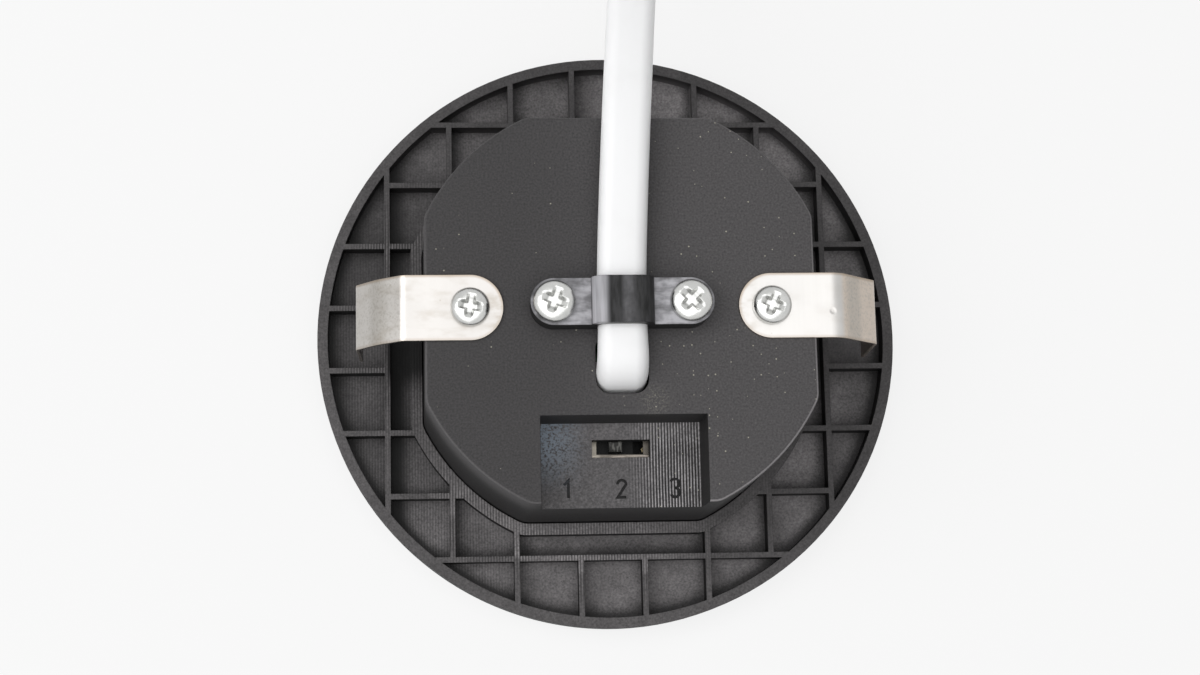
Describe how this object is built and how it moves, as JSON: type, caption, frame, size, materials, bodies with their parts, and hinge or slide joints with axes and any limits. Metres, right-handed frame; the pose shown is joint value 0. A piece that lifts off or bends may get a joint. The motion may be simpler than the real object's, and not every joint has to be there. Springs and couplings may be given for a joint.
{
  "type": "recessed light",
  "caption": "Round recessed ceiling light: rib-backed trim, flat-sided driver housing, spring clips for a ceiling cut-out, a sunken colour switch and a clamped flat supply cable.",
  "frame": {"origin": "centre of the front face, which the light lies on", "axes": "+Z from the front face to the back, +Y from the switch pocket towards the cable's way out, +X from the left clip to the right one"},
  "size_m": [0.09, 0.219, 0.0354],
  "materials": {
    "black_plastic": "fine matt moulded texture",
    "clamp_nylon": "satin moulded",
    "opal_plastic": "satin opal",
    "white_plastic": "gloss white",
    "seal_rubber": "matt silicone",
    "spreader_aluminium": "plain sheet",
    "led_board": "white solder mask",
    "led_phosphor": "phosphor",
    "driver_board": "green solder mask",
    "insulator": "plain sheet",
    "ferrite": "matt",
    "winding_tape": "yellow tape over copper",
    "can_aluminium": "sleeved can",
    "film_box": "moulded box",
    "chip_black": "moulded",
    "terminal_plastic": "moulded",
    "contact_metal": "tinned",
    "switch_steel": "stamped",
    "switch_plastic": "moulded",
    "clip_steel": "bright rolled spring sheet",
    "screw_zinc": "zinc plated",
    "cable_white": "soft satin sheath",
    "core_sheath": "brown and blue insulation",
    "tinned_copper": "tinned"
  },
  "bodies": {
    "fixture": {"back_housing": "black_plastic", "front_bezel": "black_plastic", "cable_clamp": "clamp_nylon", "diffuser_lens": "opal_plastic", "lens_seal": "seal_rubber", "reflector": "white_plastic", "heat_spreader": "spreader_aluminium", "led_board": "led_board", "led_chips": "led_phosphor", "driver_board": "driver_board", "insulator_sheet": "insulator", "transformer_core": "ferrite", "transformer_winding": "winding_tape", "smoothing_capacitor": "can_aluminium", "film_capacitor": "film_box", "control_chip": "chip_black", "rectifier": "chip_black", "terminal_block": "terminal_plastic", "link_pins": "contact_metal", "switch_pins": "contact_metal", "switch_case": "switch_steel", "switch_base": "switch_plastic", "left_clip_foot": "clip_steel", "right_clip_foot": "clip_steel", "clip_screws": "screw_zinc", "clamp_screws": "screw_zinc", "spreader_screws": "screw_zinc", "led_screws": "screw_zinc", "board_screws": "screw_zinc", "supply_cable": "cable_white", "cable_cores": "core_sheath", "inner_cores": "core_sheath", "core_tips": "tinned_copper"},
    "switch_slider": {"switch_slider": "switch_plastic", "slider_contact": "contact_metal"},
    "left_leaf": {"left_clip_leaf": "clip_steel"},
    "right_leaf": {"right_clip_leaf": "clip_steel"}
  },
  "joints": [
    {"name": "switch_slide", "type": "slide", "parent": "fixture", "child": "switch_slider", "axis": [1, 0, 0], "range_m": [-0.00126, 0.00274]},
    {"name": "left_clip_flex", "type": "hinge", "parent": "fixture", "child": "left_leaf", "pos_m": [-0.02986, 0, 0.02995], "axis": [0, -1, 0], "range_deg": [0, 18], "stiffness_Nm_per_rad": 0.5},
    {"name": "right_clip_flex", "type": "hinge", "parent": "fixture", "child": "right_leaf", "pos_m": [0.02986, 0, 0.02995], "axis": [0, 1, 0], "range_deg": [0, 18], "stiffness_Nm_per_rad": 0.5}
  ]
}
